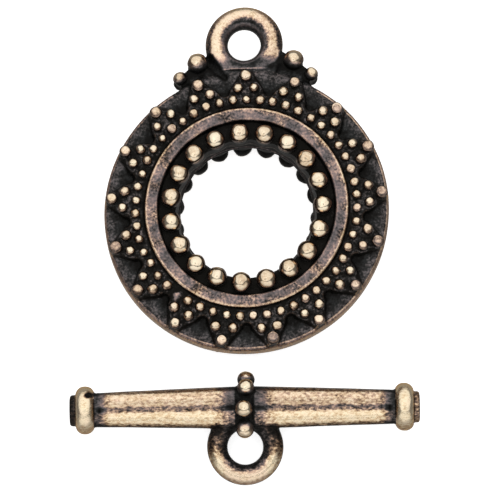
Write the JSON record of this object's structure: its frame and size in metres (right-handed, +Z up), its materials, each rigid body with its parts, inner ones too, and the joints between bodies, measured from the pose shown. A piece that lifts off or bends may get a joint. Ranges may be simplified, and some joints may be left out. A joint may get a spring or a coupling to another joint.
{
  "type": "toggle clasp",
  "caption": "Toggle clasp for a necklace or bracelet: a beaded ring with a granulated star and an eye, and a lobed T-bar with an eye, in rubbed antique brass.",
  "frame": {"origin": "centre of the footprint of the two pieces as they lie side by side, on the surface that they rest on", "axes": "+X along the bar, +Y from the bar towards the ring and on towards the ring's eye, +Z up out of the ring's front face"},
  "size_m": [0.0208, 0.0286, 0.0044],
  "materials": {
    "antique_brass": "oxidised brass plating, near black in the recesses, coppery on the flats and rubbed bright on the raised points"
  },
  "bodies": {
    "root": {"toggle_ring": "antique_brass", "toggle_bar": "antique_brass"}
  },
  "joints": []
}
